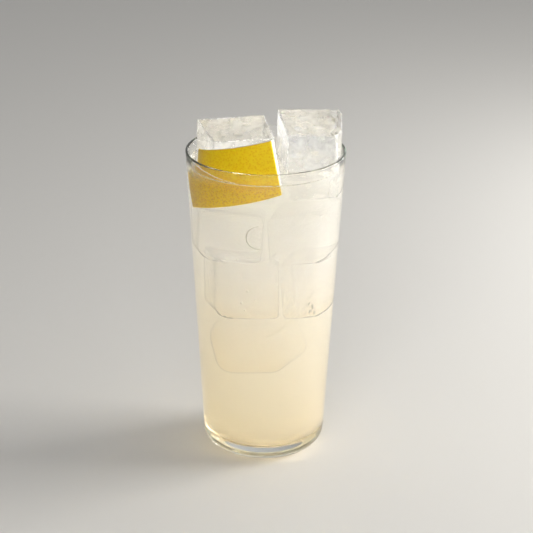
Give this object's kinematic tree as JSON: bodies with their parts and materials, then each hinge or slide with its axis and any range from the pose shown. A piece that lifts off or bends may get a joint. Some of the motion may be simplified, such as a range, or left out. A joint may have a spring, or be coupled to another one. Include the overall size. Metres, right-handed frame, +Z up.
{
  "type": "glass of french seventy-five",
  "caption": "Tall tapered highball glass of pale cloudy sparkling cocktail, with clear ice cubes standing out over the rim and a curled rectangle of lemon peel against the front wall.",
  "frame": {"origin": "middle of the glass's foot, on the surface that it stands on", "axes": "+Z up, -Y towards the front, where the lemon peel is, +X to the right"},
  "size_m": [0.0759, 0.076, 0.1682],
  "materials": {
    "glass": "clear, fire-polished",
    "drink": "cloudy pale cream liquid",
    "ice": "clear wet ice",
    "lemon_peel": "waxy dimpled zest, white pith"
  },
  "bodies": {
    "root": {"glass": "glass", "drink": "drink", "ice_cube_left": "ice", "ice_cube_right": "ice", "lemon_peel": "lemon_peel"}
  },
  "joints": []
}
